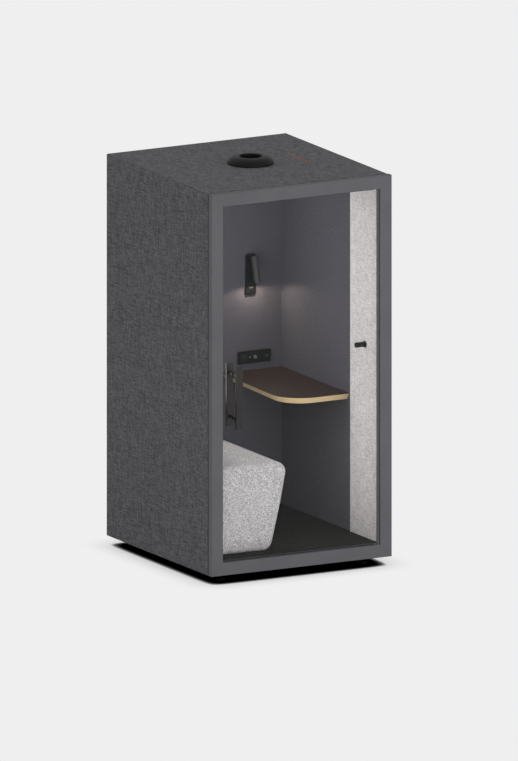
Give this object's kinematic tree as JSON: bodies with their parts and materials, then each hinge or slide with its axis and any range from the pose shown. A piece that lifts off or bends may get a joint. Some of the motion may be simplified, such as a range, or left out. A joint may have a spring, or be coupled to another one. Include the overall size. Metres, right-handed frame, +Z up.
{
  "type": "acoustic office pod",
  "caption": "Felt-clad one-person acoustic pod with a glass swing door, upholstered bench, wall desk, tilting lamp, power module and roof fan.",
  "frame": {"origin": "on the floor, under the middle of the pod's whole outline, handles included", "axes": "+Z up, the door faces -Y, the bench is on the -X side and the desk on the +X side"},
  "size_m": [1.1, 1.244, 2.1913],
  "materials": {
    "outer_felt": "heathered pressed felt",
    "inner_felt": "heathered pressed felt",
    "pale_felt": "pale pressed felt",
    "bench_fabric": "speckled woven wool",
    "core_board": "raw acoustic board",
    "carpet": "flecked low pile",
    "frame_paint": "satin powder coat",
    "black_paint": "matt powder coat",
    "lamp_black": "matt black anodised",
    "handle_bronze": "dark bronze anodised",
    "black_plastic": "matt moulded",
    "socket_grey": "matt moulded",
    "gasket_rubber": "matt",
    "steel": "satin",
    "plywood": "clear lacquered edge",
    "laminate": "dark matt laminate",
    "lamp_lens": "frosted",
    "indicator_green": "clear",
    "clear_glass": "polished"
  },
  "bodies": {
    "pod": {"left_outer_panel": "outer_felt", "right_outer_panel": "outer_felt", "rear_outer_panel": "outer_felt", "roof_outer_panel": "outer_felt", "left_wall_core": "core_board", "right_wall_core": "core_board", "rear_wall_core": "core_board", "roof_core": "core_board", "floor_deck": "core_board", "left_lining": "inner_felt", "right_lining": "inner_felt", "rear_lining": "inner_felt", "ceiling_panel": "inner_felt", "coat_panel": "pale_felt", "carpet": "carpet", "foot_front_left": "black_plastic", "foot_front_right": "black_plastic", "foot_rear_left": "black_plastic", "foot_rear_right": "black_plastic", "vent_cowl": "black_plastic", "duct_sleeve": "black_plastic", "fan_frame": "black_plastic", "ceiling_grille": "black_plastic", "power_housing": "black_plastic", "power_socket": "socket_grey", "frame_left_stile": "frame_paint", "frame_right_stile": "frame_paint", "frame_head": "frame_paint", "frame_sill": "frame_paint", "door_gasket": "gasket_rubber", "coat_peg": "black_paint", "pivot_top": "steel", "pivot_bottom": "steel", "lamp_pivot_pin": "steel", "usb_port": "steel", "slot_liner": "plywood", "desk_board": "plywood", "desk_cleat_side": "plywood", "desk_cleat_rear": "plywood", "desk_laminate": "laminate", "bench_upholstery": "bench_fabric", "lamp_backplate": "lamp_black", "power_indicator": "indicator_green"},
    "door": {"door_glass": "clear_glass", "hinge_post": "frame_paint", "handle_bar_outer": "handle_bronze", "handle_bar_inner": "handle_bronze", "handle_standoff_outer_top": "black_paint", "handle_standoff_outer_bottom": "black_paint", "handle_standoff_inner_top": "black_paint", "handle_standoff_inner_bottom": "black_paint", "handle_bolt_top": "steel", "handle_bolt_bottom": "steel"},
    "lamp_head": {"lamp_head": "lamp_black", "lamp_lens": "lamp_lens"},
    "lamp_switch": {"lamp_switch": "steel"},
    "dimmer_knob": {"dimmer_knob": "steel"},
    "fan_rotor": {"fan_rotor": "black_plastic"}
  },
  "joints": [
    {"name": "door_swing", "type": "hinge", "parent": "pod", "child": "door", "pos_m": [0.474, -0.5605, 1.1], "axis": [0, 0, 1], "range_deg": [0, 90]},
    {"name": "lamp_tilt", "type": "hinge", "parent": "pod", "child": "lamp_head", "pos_m": [0.2945, 0.5319, 1.501], "axis": [-1, 0, 0], "range_deg": [-14, 55]},
    {"name": "lamp_switch_press", "type": "slide", "parent": "pod", "child": "lamp_switch", "axis": [0, 1, 0], "range_m": [0, 0.0015], "stiffness_N_per_m": 400},
    {"name": "dimmer_turn", "type": "hinge", "parent": "pod", "child": "dimmer_knob", "pos_m": [0.317, 0.5467, 0.956], "axis": [0, 1, 0], "range_deg": [-135, 135]},
    {"name": "fan_spin", "type": "hinge", "parent": "pod", "child": "fan_rotor", "pos_m": [0.018, 0.036, 2.12], "axis": [0, 0, 1], "continuous": true}
  ]
}
